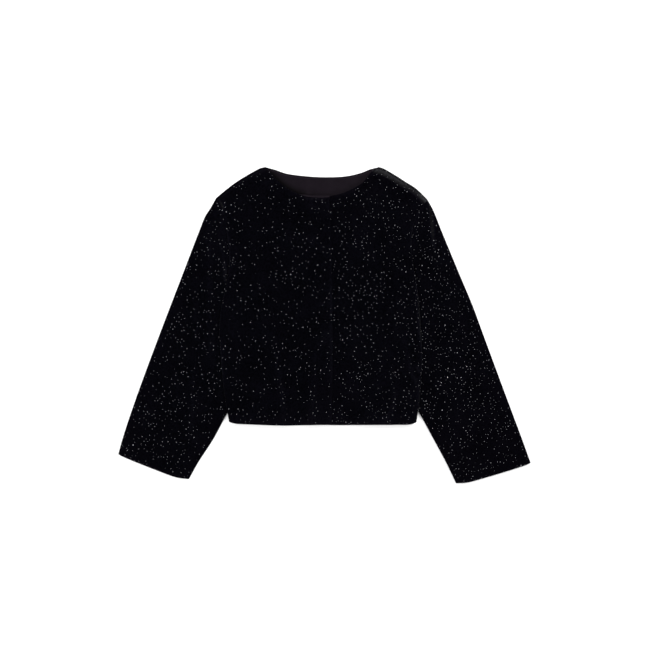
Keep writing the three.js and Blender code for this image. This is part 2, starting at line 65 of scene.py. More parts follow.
# The tucked parts of the sleeves raise the body, up to TUCK_REACH in from its sides and TUCK_FULL
# along Y. The side seam is closed up to UNDERARM and the armhole open from SEAM_OPEN. Above
# HEAD_SEWN the sleeve's head follows the armhole.
TUCK_REACH = 60
TUCK_RAMP = 46
TUCK_FULL = 113
TUCK_NONE = 172
HEAD_SEWN = 106
SEWN_BLEND = 3
UNDERARM = 64
SEAM_OPEN = 100

# The edges of each side, corner to corner. The sleeve's head runs along the armhole and then, as
# its tuck, beneath the body.
SIDES = {
    "right": {
        "sign": -1,
        "closure": [(-8.2, 205), (-11.8, 101), (-13.1, -65), (-12, -159.4)],
        "neckline": [
            (-8.2, 205), (3.8, 204.3), (18.7, 204.8), (33.8, 207.1), (47.2, 212.1),
            (60.6, 219.7), (74.1, 230.2), (85.4, 241.9), (94.6, 253),
        ],
        "shoulder": [
            (94.6, 253), (102.5, 251.3), (110, 247.6), (127, 237.9), (142.2, 228.3),
            (155, 218.7), (173.8, 203.2),
        ],
        "armhole": [
            (173.8, 203.2), (165.8, 193), (159.6, 161), (154.4, 130), (152.5, 98), (156.4, 64),
        ],
        "side": [
            (156.4, 64), (164.3, 30), (167.8, -11), (166, -40), (161.6, -94), (157.4, -125),
            (152.4, -154.4),
        ],
        "hem": [
            (-12, -159.4), (20, -159.8), (63, -160.6), (119, -158.6), (143, -157.2), (152.4, -154.4),
        ],
        "sleeve_top": [
            (173.8, 203.2), (183.8, 185.1), (190.2, 175.5), (200, 151.5), (227.7, 79.5),
            (264.5, -16.5), (300, -112.5), (321.6, -176.5), (330, -206.5),
        ],
        "cuff": [(330, -206.5), (323, -210.3), (275.8, -229.5), (236, -243.9), (217, -246.4)],
        "sleeve_under": [
            (114, 46), (112, 0), (119, -55), (135, -104), (156.2, -141.6), (177.3, -181.3),
            (202.1, -219.7), (217, -246.4),
        ],
        "head_tuck": [(146, 76), (133, 58), (114, 46)],
    },
    "left": {
        "sign": 1,
        "closure": [(-18, 205.8), (-17, -65), (-18, -159)],
        "neckline": [
            (-18, 205.8), (0, 205.9), (15.5, 207.6), (30.6, 211.6), (49.9, 220.9),
            (61.5, 228.4), (69.5, 238.5), (77, 247), (86.4, 253),
        ],
        "shoulder": [
            (86.4, 253), (93, 251.2), (100.4, 247.4), (116.3, 237.9), (131.2, 228.3),
            (146.2, 218.7), (165.1, 200.6),
        ],
        "armhole": [
            (165.1, 200.6), (155.5, 188.5), (145.6, 168.3), (139.4, 142), (140.6, 108), (147.2, 64),
        ],
        "side": [(147.2, 64), (151.4, 30), (155, -28.5), (155.4, -60), (151.9, -119.7), (146.8, -155)],
        "hem": [(-18, -159), (16, -160), (75, -159.5), (110, -159.2), (138, -158.4), (146.8, -155)],
        "sleeve_top": [
            (165.1, 200.6), (173.4, 185.1), (187, 151.5), (216.8, 79.5), (236.9, 31.5),
            (254.6, -16.5), (290.1, -112.5), (314, -176.5), (330, -220.5),
        ],
        "cuff": [
            (330, -220.5), (320, -224.7), (289.9, -234.4), (258.2, -243.9), (228, -252), (210.5, -253),
        ],
        "sleeve_under": [
            (106, 46), (104, 0), (112, -55), (129, -102), (150.6, -138.9), (173.8, -181.3),
            (194.5, -219.7), (210.5, -253),
        ],
        "head_tuck": [(136, 76), (124, 58), (106, 46)],
    },
}
BACK_NECKLINE = [
    (-94.6, 253), (-78.6, 248.6), (-62.6, 243), (-38.6, 239.3), (-4.2, 236.9), (33.4, 238.2),
    (57.4, 243.5), (73.4, 249.7), (86.4, 253),
]
NECK_RIM = {"width": 1.7, "amount": -0.4}  # the darker turned edge above the lining

# The lining inside the back of the neck: its outline and grid, its turned edge and its waves.
FACING = {"depth": 46, "inset": 2.1, "end": 7, "curve": 22, "flare": 4, "columns": 90, "cell": 2.2}
FACING_LOW_LINES = [0, 0.4, 1]
FACING_NECK_LINES = [0, 0.4, 1.0, 1.8, 2.8]
FACING_RIDGE = {"rise": 0.45, "middle": 1.2, "spread": 0.9}
FACING_ROUND = {"depth": 0.5, "width": 1.2}
FACING_WAVES = {"share": 0.4125, "closer": 1.6}

# Where the lining's edge just shows above the front neckline, and how far the velvet draws back.
LINING_PEEP = {
    "from": -42, "full_from": -30, "full_to": 4, "to": 14, "over": 2.5, "back": 0.5, "reach": 5,
    "seen": 0.2,
}

# Soft standing folds that rise from the hem of the fronts. Each row holds its X at the hem, how
# far it leans over up to its top, the Y of its top, its spread and its rise.
FRONT_FOLDS = [
    (-64, -11, -46, 8.6, 2.4),
    (-19, 3, -30, 10.4, 1.6),
    (104, 12, -84, 8.5, 1.8),
]
FOLD_FOOT = -160
FOLD_FADES = 0.45
UNDERLAP_PLAIN = (14, 30)  # the hidden underlap lies plain up to here

# Creases of the body, ridges and troughs along lines. Each row holds its line, its spread,
# how far it rises (a trough is below 0) and how much painted sheen lies along it (below 0, painted
# shade).
FRONT_CREASES = [
    ([(-150, 128), (-152, 104), (-157, 68)], 3, -1.2, 0),
    ([(-143, 94), (-150, 82), (-156, 66)], 2.8, -0.9, 0),
    ([(-136, 132), (-143, 98), (-151, 64)], 5.5, 0.7, 0),
    ([(-170, 200), (-165.5, 192), (-160, 183)], 4, 0.6, 3.6),
    ([(-75, -30), (-76, -66), (-68, -100), (-66, -126), (-64, -156)], 4.2, 0.7, 0.6),
    ([(-88, -60), (-84, -110), (-86, -150)], 6.5, -0.8, -0.1),
    ([(16, 8), (4, -14), (-9, -34), (-14, -54), (-24, -78)], 8, 0.8, 0.45),
    ([(-22, -40), (-18, -80), (-18, -118), (-20, -156)], 8.5, 0.6, 0.36),
    ([(-44, -74), (-38, -112), (-41, -150)], 7.5, -0.9, -0.1),
    ([(12, 36), (-6, 33), (-22, 26)], 3.4, 0.5, 0.45),
    ([(-50, 150), (-38, 140), (-14, 132), (6, 128)], 8, 0.5, 0.28),
    ([(-36, 194), (-18, 190), (-4, 184)], 7, 0.4, 0.35),
    ([(-128, 176), (-112, 128), (-108, 70)], 11, 0.8, 0),
    ([(-146, 64), (-150, 20), (-146, -36)], 15, 0.3, 0.25),
    ([(-72, 224), (-58, 190), (-52, 150)], 9, 0.6, 0.08),
    ([(-120, -20), (-104, -58), (-112, -96)], 9, -0.6, 0),
    ([(124, -6), (131, -40), (138, -70), (143, -92), (152, -114)], 3.4, 1, 0.8),
    ([(142, -78), (147, -89), (151, -100)], 2.8, 0.4, 1.8),
    ([(145, -64), (149, -71), (153, -78)], 3, 0.6, 1.8),
    ([(142, -44), (146, -58), (147, -66)], 2.4, -1, -0.45),
    ([(146, -76), (149, -88), (152, -98)], 2.4, -1.1, -0.5),
    ([(107, -84), (112, -112), (109, -130), (100, -148), (96, -158)], 4.2, 0.7, 0.6),
    ([(127, -124), (142, -112), (152, -116)], 9, 0.5, 0.35),
    ([(64, -104), (68, -128), (66, -156)], 8.5, 0.9, 0.12),
    ([(40, -118), (43, -138), (41, -156)], 6, -0.5, 0),
    ([(137, 112), (140, 84), (146, 62)], 3.6, -1, 0),
    ([(112, 168), (104, 122), (112, 74)], 10, 0.7, 0.05),
    ([(66, 216), (58, 184), (62, 150)], 9, 0.5, 0.05),
    ([(100, 10), (88, -26), (96, -70)], 10, -0.6, 0),
]
BACK_CREASES = [
    ([(-110, 150), (-80, 90), (-92, 20)], 9, 0.8, 0.3),
    ([(-54, -60), (-48, -110), (-52, -152)], 8, 0.9, 0.4),
    ([(22, -20), (30, -84), (24, -150)], 10, 0.7, 0.3),
    ([(104, 130), (84, 70), (92, 16)], 9, 0.8, 0.25),
    ([(96, -90), (90, -122), (94, -154)], 7, 0.8, 0.4),
    ([(-40, 196), (4, 186), (46, 198)], 7, 0.6, 0.3),
]
CREASE_POINTS = 10
CREASE_FADES = 0.4
INNER_CREASE = 0.4  # how much of the back's creases its inside shows

# A crease that ends below HEM_REACHED runs on to the hem, if it is no further out than
# SLEEVE_BEYOND. Every other crease fades at both ends.
HEM_REACHED = -145
SLEEVE_BEYOND = 160

# Wide soft folds across the sleeves, and the creases along them. A fold's row holds how far along
# it lies from head to cuff, how much further at the lower edge, its spread along and its rise.
SLEEVE_FOLDS = [
    (0.36, 0.10, 0.055, 1.6),
    (0.58, -0.08, 0.070, 1.3),
    (0.80, 0.05, 0.050, 1),
]
SLEEVE_FOLD_ENDS = 0.25
BESIDE_SEAM = (2, 16)  # where the sleeve's folds begin to show and show in full
SLEEVE_CREASES = {
    "right": [
        ([(-169, 172), (-167.5, 140), (-163, 112), (-158.7, 84), (-157.7, 46)], 3.2, 0.9, 0.3),
        ([(-161, 110), (-158.4, 86), (-157.8, 72), (-157.4, 52)], 3, 0.4, 1.3),
        ([(-160, 134), (-158, 112), (-156.5, 94)], 1.8, -0.4, -0.1),
        ([(-188, 196), (-186, 150), (-184, 110), (-183, 60), (-181, 0)], 5.6, 0.9, 0.36),
        ([(-182, 30), (-180, -40), (-178, -100), (-184, -150)], 6, 0.7, 0.2),
        ([(-209, 78), (-206, 30), (-204, -30), (-209, -70)], 5, 0.8, 0.3),
        ([(-205, -40), (-210, -90), (-212, -140), (-216, -196)], 3.8, 0.7, 0.5),
        ([(-196, 96), (-194, 40), (-193, -30)], 5, -0.8, -0.1),
        ([(-236, 10), (-246, -60), (-262, -120)], 8, -0.6, 0),
        ([(-276, -110), (-288, -160), (-296, -196)], 7, 0.5, 0),
    ],
    "left": [
        ([(163, 222), (168.5, 190), (171.5, 164), (174, 136), (177, 110)], 3.2, 0.8, 3.2),
        ([(186, 150), (190, 118), (204, 76)], 6, 0.6, 0.15),
        ([(160, 40), (160, 4), (163, -34)], 4, 0.7, 0.25),
        ([(172, 100), (178, 40), (196, -30)], 8, -0.8, 0),
        ([(200, 40), (222, -20), (236, -80)], 8, 0.7, 0.05),
        ([(190, -80), (214, -130), (226, -180)], 8, -0.7, 0),
        ([(258, -90), (272, -150), (286, -196)], 7, 0.5, 0.05),
    ],
}
CREASES_FROM = {"fold": (0.5, 4), "seam": (0.3, 2.5)}  # where creases begin beside these

# The sleeve's head climbs to the raised front: more from "low" to "high" along Y, in full up to
# "near" the armhole and not past "reach". Below HEAD_SEWN it stays down within "clear" of the seam.
HEAD_CLIMB = {"low": 64, "high": 111, "near": 3, "reach": 36, "clear": 1.2}
ON_BODY = (122, 140)  # over which the sleeve's depth grows to the body's

# The cloth stands up softly beside the sewn edges of the fronts.
BEAD = {"rise": 1.5, "spread": 10.6, "side_share": 0.6}

# Long shallow waves that keep the cloth from lying like a board: angle, length, phase and height.
WAVES = [
    (18, 92, 0.4, 0.16),
    (74, 67, 2.1, 0.14),
    (131, 48, 4.4, 0.10),
    (163, 33, 5.2, 0.07),
]
WAVE_BEND = {"depth": 0.6, "rate": 0.021}

# Grid spacing, and the shares of a panel's top edge that are neckline or shoulder.
CELL = 3.6
SLEEVE_CELLS = 58
CORNER = {"beside": 1.2, "clear": 1.6}  # extra columns beside a corner, and room for them
SEAM_LINES = [0, 0.15, 0.5, 1.1, 2.0, 3.0, ROLL]
FREE_LINES = [0, 0.25, 0.7, FREE_ROUND["width"]]
CLOSURE_ROUND = {"depth": 1.5, "width": 5.0}
CLOSURE_LINES = [0, 0.2, 0.6, 1.2, 2.2, 3.4, CLOSURE_ROUND["width"]]
NECK_SHARE = 0.55
SHOULDER_SHARE = 0.25

# The seam groove where a sleeve meets the body, and how far the sleeve runs in under the seam.
ARMHOLE_SINK = {"depth": 1.1, "width": 3.4}
SLEEVE_SINK_FROM = (100, 120)
ARMHOLE_OVERLAP = 0.8

# Glitter: flakes per square millimetre of each panel, with the seed of its random numbers, then
# the flakes' sizes, and how unevenly they lie.
GLITTER = {
    "front_right": (0.0105, 29),
    "front_left": (0.0186, 12),
    "back": (0.0150, 13),
    "sleeve_right": (0.0170, 14),
    "sleeve_left": (0.0252, 15),
}
TURNED_GRIDS = ("front_right", "back", "sleeve_right")  # their columns run the other way
FLAKE = {
    "least": 0.66, "most": 1.16, "mostly_small": 1.6, "lift": 0.12, "lift_by_size": 0.12,
    "tilt": 12.0, "corners": 7, "least_reach": 0.85, "more_reach": 0.3, "apart": 3.5,
}
ASLANT = [0.3, 0.9, 0.1]  # a direction that no flake faces
CLUSTERS = {"length": 31.0, "least": 0.72, "most": 1.34, "swing": 0.36}
CLUSTER_WAVES = [
    (1.0, [(1.0, 0.6, 1.3), (-0.5, 0.8, 0.4)]),
    (0.7, [(1.33, -1.9, 2.2), (1.7, 0.51, 0.0)]),
]

# Bands beside edges and lines with painted sheen or, below 0, painted shade. Each row holds the
# edge, how far in the band lies, its spread and amount, and its ends along Y if it has them.
PAINTED_LIGHT_BANDS = {
    "front_right": [
        ("right closure", 1.9, 2.4, 0.3),
        ("right closure", 1.9, 2.1, 0.45, -90, 90),
        ("right armhole", 1, 1.9, 0.35),
        ("right armhole", 1, 1.6, 0.8, 98, 146),
        ("right side", 0.4, 1.6, 0.3),
        ("right side", 0.4, 1.6, 0.8, -85, -20),
        ("right shoulder", 1, 4.4, 0.5),
        ("right shoulder", 4.2, 1.3, 0.5),
        ("right neckline", 1, 2.2, 0.35),
        ([(-34, 204), (-18, 202), (0, 201.6)], 0, 2.4, 0.7),
        ("right hem", 0.8, 1.5, 0.5),
        ("right hem", 7, 10, 0.26),
    ],
    "front_left": [
        ("right closure", 6.5, 5, -0.08),
        ("left armhole", 0.1, 1.8, 1.1, 40, 176),
        ("left armhole", 0.1, 1.8, 0.8, 132, 160),
        ("left side", 0.3, 2.1, 0.8),
        ("left side", 1.5, 3, 1.4, -124, -90),
        ("left side", 0.6, 2.9, 2.1, -26, 52),
        ("left shoulder", 1.6, 2.2, 1),
        ("left shoulder", 5.4, 2.3, 8),
        ("left shoulder", 2.6, 2.6, 19, 180, 206),
        ("left shoulder", 6.2, 2.8, 9, 224, 280),
        ("left neckline", 1, 2.2, 0.3),
        ("left hem", 0.8, 1.5, 0.5),
        ("left hem", 7, 8, 0.2),
    ],
    "sleeve_right": [
        ("right seam", 2, 3.2, 0.3),
        ("right sleeve_top", 1.5, 2.2, 0.2),
        ("right cuff", 1, 1.6, 0.45),
    ],
    "sleeve_left": [
        ("left seam", 2, 3.2, 0.15),
        ("left sleeve_top", 1.5, 2.2, 0.3),
        ("left cuff", 1, 1.6, 0.45),
    ],
    "back": [
        ("right side", 1.5, 2.4, 0.4),
        ("left side", 1.5, 2.4, 0.4),
        ("right shoulder", 1.5, 3, 0.4),
        ("left shoulder", 1.5, 3, 0.4),
    ],
    "back_neck_facing": [
        ("back neckline", 3, 0.9, 0.55),
        ("right neckline", 1.2, 2, -0.4),
        ([(-33, 211), (-46, 215), (-59, 222.5), (-72, 232.5), (-83, 243.5)], 0, 5.2, -0.55),
        ("left neckline", 2.5, 4.6, -0.22),
    ],
}
PAINTED_BAND_BLEND = 14  # over which a band that has ends dies away
FOLD_PAINTED_SHEEN = 0.03  # painted sheen for each millimetre that a fold stands up
SHINE_SHARE = 0.8  # how wide a crease's painted sheen or painted shade is, as a share of the crease
GREY_AT = 3.0  # how much painted sheen turns the velvet's violet tinge to grey
GREY_MOST = 0.85

# Colours and sheen, in linear values.
VELVET = {"dark": (0.00025, 0.0002, 0.00055), "light": (0.0019, 0.0017, 0.0029), "sheen": 0.042}
SHEEN_TINT = (0.72, 0.70, 0.86, 1)
CRUSH_SHARE = 0.28
TUFT_SHARE = 0.72
LINING = {"dark": (0.0044, 0.0031, 0.0048), "light": (0.0067, 0.0049, 0.0071)}
WEAVE_SHARE = 0.3
# The flakes' colour runs at random from almost black to silver: a painted glint that sets how brightly
# each flake shines beside the real glints of its tilt.
FLAKE_TONES_AND_PAINTED_GLINT = [(0.34, (0.038, 0.038, 0.042)), (0.74, (0.37, 0.37, 0.39))]
FLAKE_ROUGHNESS = (0.28, 0.5)
FLOOR_TONES = [(0.3, (0.94, 0.94, 0.94)), (0.7, (0.97, 0.97, 0.97))]

# Stage, in metres. The photo takes in 1.04 m of the surface, seen from straight above.
VIEW = {"width": 1.0387, "x": 0.0008, "y": 0.0002, "z": 0.006, "lens": 85.0, "sensor": 36.0}
FLOOR = {"size": 12, "z": -0.0004}
LIGHTS = {
    "key": {"place": (1.1, 1.5, 1.7), "target": (0.05, 0.1, 0), "size": (1.2, 0.9), "power": 50},
    "fill": {"place": (-1.5, -0.6, 1.8), "target": (0, 0, 0), "size": (1.4, 1.2), "power": 26},
}


# Small helpers.
def clamp(value, low, high):
    return np.minimum(np.maximum(value, low), high)


def smooth(start, end, value):
    share = clamp((value - start) / (end - start), 0, 1)
    return share * share * (3 - 2 * share)


def unit(vectors):
    return vectors / np.linalg.norm(vectors, axis=1)[:, None]


def bump(off, spread):
    return np.exp(-((off / spread) ** 2))


def round_off(distance, width):
    """1 at an edge and 0 past the width of its quarter round."""
    share = 1 - clamp(distance / width, 0, 1)
    return 1 - np.sqrt(1 - share * share)


def rounded(distance, edge):
    """How far an edge's rounding takes the surface down."""
    return edge["depth"] * round_off(distance, edge["width"])


def smooth_line(points, per_span=24):
    """A centripetal Catmull-Rom curve through points, as an array of close points."""
    given = np.asarray(points, float)
    before = 2 * given[0] - given[1]
    after = 2 * given[-1] - given[-2]
    all_points = np.vstack([before, given, after])
    t = np.linspace(0, 1, per_span, endpoint=False)[:, None]
    spans = []
    for p0, p1, p2, p3 in zip(all_points, all_points[1:], all_points[2:], all_points[3:]):
        d0, d1, d2 = (math.sqrt(np.linalg.norm(b - a)) for a, b in ((p0, p1), (p1, p2), (p2, p3)))
        start = ((p1 - p0) / d0 - (p2 - p0) / (d0 + d1) + (p2 - p1) / d1) * d1
        end = ((p2 - p1) / d1 - (p3 - p1) / (d1 + d2) + (p3 - p2) / d2) * d1
        square = -3 * p1 + 3 * p2 - 2 * start - end
        cube = 2 * p1 - 2 * p2 + start + end
        spans.append(p1 + start * t + square * t ** 2 + cube * t ** 3)
    return np.vstack([*spans, given[-1]])


def lengths_of(line):
    steps = np.linalg.norm(np.diff(line, axis=0), axis=1)
    return np.concatenate([[0], np.cumsum(steps)])


def at_share(line, share):
    """Points at shares of a line's length."""
    along = lengths_of(line)
    wanted = np.asarray(share, float) * along[-1]
    return np.stack([np.interp(wanted, along, line[:, axis]) for axis in (0, 1)], axis=-1)


def nearest(line, x, y):
    """Distance to a line, the share of its length there, and the line's direction and offset."""
    flat_x, flat_y = np.ravel(x), np.ravel(y)
    best = np.full(flat_x.shape, np.inf)
    found = np.zeros((5, flat_x.size))
    along = lengths_of(line)
    for i in range(len(line) - 1):
        ax, ay = line[i]
        dx, dy = line[i + 1] - line[i]
        square = dx * dx + dy * dy
        if square == 0:
            continue
        t = clamp(((flat_x - ax) * dx + (flat_y - ay) * dy) / square, 0, 1)
        off_x = flat_x - ax - t * dx
        off_y = flat_y - ay - t * dy
        distance = np.hypot(off_x, off_y)
        closer = distance < best
        best[closer] = distance[closer]
        share = (along[i] + t * (along[i + 1] - along[i])) / along[-1]
        values = (share, np.full_like(t, dx), np.full_like(t, dy), off_x, off_y)
        for row, value in zip(found, values):
            row[closer] = value[closer]
    shape = np.shape(x)
    return (best.reshape(shape), *(row.reshape(shape) for row in found))


def spacing(length, start_lines, end_lines, cell=CELL):
    """Shares from 0 to 1 with set lines inside each end and even cells between."""
    start, end = start_lines[-1], length - end_lines[-1]
    steps = max(2, int(round((end - start) / cell)))
    middle = np.linspace(start, end, steps + 1)[1:-1]
    near_end = [length - line for line in reversed(end_lines)]
    return np.concatenate([start_lines, middle, near_end]) / length


def curves_of(table):
    """Each edge of a side as a line, with X positive towards the wearer's left."""
    sign = table["sign"]
    found = {"sign": sign}
    for name, rows in table.items():
        if name != "sign":
            found[name] = smooth_line([(sign * out, up) for out, up in rows])
    found["seam"] = np.vstack([found["armhole"], found["side"][1:]])
    return found


CURVES = {name: curves_of(table) for name, table in SIDES.items()}
BACK_NECK = smooth_line(BACK_NECKLINE)
CURVES["back"] = {"neckline": BACK_NECK}


def along_crease(line, x, y):
    """Distance to a crease's line, and how much of the crease is left there as its ends fade."""
    distance, share, *_ = nearest(smooth_line(line, CREASE_POINTS), x, y)
    left = smooth(0, CREASE_FADES, share)
    end_x, end_y = line[-1]
    if end_y > HEM_REACHED or abs(end_x) > SLEEVE_BEYOND:
        left = left * smooth(0, CREASE_FADES, 1 - share)
    return distance, left


def painted_light_of(piece, x, y, creases=()):
    """How much painted sheen, or below 0 painted shade, lies at each point of a piece."""
    lighter = np.zeros_like(x)
    for line, spread, _, shine in creases:
        distance, left = along_crease(line, x, y)
        lighter += shine * left * bump(distance, SHINE_SHARE * spread)
    for edge, offset, spread, amount, *ends in PAINTED_LIGHT_BANDS[piece]:
        shown = bump(nearest(band_line(edge), x, y)[0] - offset, spread)
        if ends:
            low, high = ends
            shown = shown * smooth(low - PAINTED_BAND_BLEND, low + PAINTED_BAND_BLEND, y)
            shown = shown * (1 - smooth(high - PAINTED_BAND_BLEND, high + PAINTED_BAND_BLEND, y))
        lighter += amount * shown
    return lighter


def band_line(edge):
    """The line of a band of painted sheen or shade, which is given as the side and name of an edge or
    as points.
    """
    if isinstance(edge, str):
        side, name = edge.split()
        return CURVES[side][name]
    return smooth_line(edge, CREASE_POINTS)


# Heights of the body's cloth.
def side_closed(y):
    """1 where the side seam is closed and 0 along the open armhole."""
    return 1 - smooth(UNDERARM, SEAM_OPEN, y)


def halves(x):
    """The two sides of the body, each with the points that lie on it."""
    return [(name, mine) for name, mine in (("right", x < 0), ("left", x >= 0)) if mine.any()]


def seam_edges(x, y):
    """Distances to the side and shoulder seams, and how far the side is closed there."""
    at_side = np.zeros_like(x)
    at_shoulder = np.zeros_like(x)
    for name, mine in halves(x):
        at_side[mine] = nearest(CURVES[name]["seam"], x[mine], y[mine])[0]
        at_shoulder[mine] = nearest(CURVES[name]["shoulder"], x[mine], y[mine])[0]
    return at_side, at_shoulder, side_closed(y)


def tuck_lift(at_side, y):
    """How far the tucked part of a sleeve raises the body."""
    near = 1 - smooth(TUCK_REACH, TUCK_REACH + TUCK_RAMP, at_side)
    return TUCK_LIFT * near * (1 - smooth(TUCK_FULL, TUCK_NONE, y))


def flatness(edges, inset):
    """1 on the flat of a wall, and down to 0 where it rolls over to a sewn edge."""
    at_side, at_shoulder, weight = edges
    width = ROLL - inset
    shoulder = round_off(at_shoulder - inset, width)
    side = round_off(at_side - inset, width) * weight
    return 1 - np.maximum(shoulder, side)


def fold_rise(x, y):
    rise = np.zeros_like(x)
    for foot, lean, top, spread, height in FRONT_FOLDS:
        share = clamp((y - FOLD_FOOT) / (top - FOLD_FOOT), 0, 1)
        left = 1 - smooth(FOLD_FADES, 1, share)
        rise += height * left * bump(x - foot - lean * share, spread)
    return rise


def crease_rise(creases, x, y):
    rise = np.zeros_like(x)
    for line, spread, height, _ in creases:
        distance, left = along_crease(line, x, y)
        rise += height * left * bump(distance, spread)
    return rise


def wave_rise(x, y):
    rise = np.zeros_like(x)
    for degrees, length, phase, height in WAVES:
        angle = math.radians(degrees)
        along = x * math.cos(angle) + y * math.sin(angle)
        across = x * math.sin(angle) - y * math.cos(angle)
        bend = WAVE_BEND["depth"] * np.sin(WAVE_BEND["rate"] * across + phase)
        rise += height * np.sin(2 * math.pi * along / length + phase + bend)
    return rise


def bead_rise(edges):
    at_side, at_shoulder, weight = edges
    shoulder = bump(at_shoulder, BEAD["spread"])
    side = bump(at_side, BEAD["spread"]) * weight * BEAD["side_share"]
    return BEAD["rise"] * np.maximum(shoulder, side)


def armhole_sink(edges):
    """The seam groove along the armhole, where front and sleeve are sewn together."""
    at_side, _, weight = edges
    return rounded(at_side, ARMHOLE_SINK) * (1 - weight)


def closure_climb(x):
    """The right front climbs onto the left one's hidden underlap."""
    lower_edge = SIDES["left"]["closure"][1][0]
    return CLOSURE_LIFT * smooth(lower_edge - CLOSURE_RAMP, lower_edge - CLOSURE_CLEAR, x)


def front_height(name, x, y, inside):
    inset = WALL if inside else 0
    edges = seam_edges(x, y)
    folded = 1 if name == "right" else smooth(*UNDERLAP_PLAIN, x)
    shape = (fold_rise(x, y) + crease_rise(FRONT_CREASES, x, y) + wave_rise(x, y)) * folded
    full = BODY_DEPTH / 2 - SEAM_GAP / 2 + shape + bead_rise(edges) - inset
    climb = closure_climb(x) if name == "right" else 0
    base = tuck_lift(edges[0], y) + climb + SEAM_PLANE + SEAM_GAP / 2
    return base + full * flatness(edges, inset) - armhole_sink(edges)


def back_height(x, y, inside):
    inset = WALL if inside else 0
    edges = seam_edges(x, y)
    flat = flatness(edges, inset)
    rise = crease_rise(BACK_CREASES, x, y) * flat * (INNER_CREASE if inside else 1)
    return tuck_lift(edges[0], y) + inset + rise + (SEAM_PLANE - SEAM_GAP / 2 - inset) * (1 - flat)


def set_in(x, y):
    """Where the inside of the wall lies: moved in from the sewn edges by the wall's thickness."""
    in_x, in_y = x.copy(), y.copy()
    weight = side_closed(y)
    for name, mine in halves(x):
        for line, strength in ((CURVES[name]["seam"], weight[mine]), (CURVES[name]["shoulder"], 1)):
            distance, _, dx, dy, *_ = nearest(line, x[mine], y[mine])
            share = strength * (1 - clamp(distance / SET_IN_WIDTH, 0, 1))
            length = np.hypot(dx, dy)
            way = np.where(dy * x[mine] > 0, -1, 1)
            in_x[mine] += way * dy * WALL * share / length
            in_y[mine] -= way * dx * WALL * share / length
    return in_x, in_y


def softening(lines, x, y, flat):
    """The rounding of a wall's free edges."""
    distance = np.min([nearest(line, x, y)[0] for line in lines], axis=0)
    return rounded(distance, FREE_ROUND) * flat


# Grids and meshes.
def patch(low, high, start, end):
    """A four-sided patch between edge curves given at the grid's shares."""
    def points(across, rows):
        a, b = low(across)[None, :, :], high(across)[None, :, :]
        c, d = start(rows)[:, None, :], end(rows)[:, None, :]
        (c00, c10), (c01, c11) = low(np.array([0.0, 1.0])), high(np.array([0.0, 1.0]))
        u = across[None, :, None]
        v = rows[:, None, None]
        blend = (1 - v) * a + v * b + (1 - u) * c + u * d
        corners = (1 - u) * (1 - v) * c00 + u * (1 - v) * c10 + (1 - u) * v * c01 + u * v * c11
        grid = blend - corners
        return grid[..., 0], grid[..., 1]

    return points


def edge_of(line, backwards=False):
    return lambda share: at_share(line, 1 - share if backwards else share)


def joined(parts):
    """Edges end to end: each part covers the shares up to its own."""
    def edge(share):
        found = np.zeros((len(share), 2))
        start = 0.0
        for end, part in parts:
            mine = (share >= start) & (share <= end + TINY)
            found[mine] = part(clamp((share[mine] - start) / (end - start), 0, 1))
            start = end
        return found
    return edge


def seam_edge(side):
    """A body side's edge from the hem to the shoulder, with the rows that cross it."""
    side_length = lengths_of(side["side"])[-1]
    length = side_length + lengths_of(side["armhole"])[-1]
    edge = joined([
        (side_length / length, edge_of(side["side"], True)),
        (1.0, edge_of(side["armhole"], True)),
    ])
    return edge, spacing(length, FREE_LINES, SEAM_LINES)


def with_corner(shares, corner, width):
    """Adds columns at a corner of the outline and close on both sides of it."""
    close = CORNER["beside"] / width
    others = shares[np.abs(shares - corner) > CORNER["clear"] * close]
    return np.sort(np.concatenate([others, [corner - close, corner, corner + close]]))


def rim_faces(line, offset, tube, back):
    """Faces across a wall's thickness along one edge of its grid."""
    first = line if tube else line[:-1]
    second = np.roll(line, -1) if tube else line[1:]
    rim = np.stack([first, second, second + offset, first + offset], axis=-1)
    return rim[:, [1, 0, 3, 2]] if back else rim


def wall_faces(rows, columns, tube):
    """Faces of a closed wall: its outside, its inside, and the rims of its first and last rows
    and, unless it is a tube, of its first and last columns."""
    offset = rows * columns
    number = np.arange(offset).reshape(rows, columns)
    right = np.roll(number, -1, axis=1)
    spans = slice(None) if tube else slice(0, columns - 1)
    a, b = number[:-1, spans], right[:-1, spans]
    c, d = right[1:, spans], number[1:, spans]
    outside = np.stack([a, b, c, d], axis=-1).reshape(-1, 4)
    rims = [rim_faces(number[0], offset, tube, True), rim_faces(number[-1], offset, tube, False)]
    if not tube:
        rims.append(rim_faces(number[:, 0], offset, False, False))
        rims.append(rim_faces(number[:, -1], offset, False, True))
    return outside, outside[:, ::-1] + offset, rims


def placed(name, data):
    """An object in the scene for a mesh, a light or a camera."""
    made = bpy.data.objects.new(name, data)
    bpy.context.scene.collection.objects.link(made)
    return made


def placed_mesh(name, vertices, faces):
    """A piece in the scene from vertices in millimetres."""
    mesh = bpy.data.meshes.new(name)
    mesh.from_pydata((vertices * MM).tolist(), [], faces.tolist())
    mesh.update()
    return placed(name, mesh)


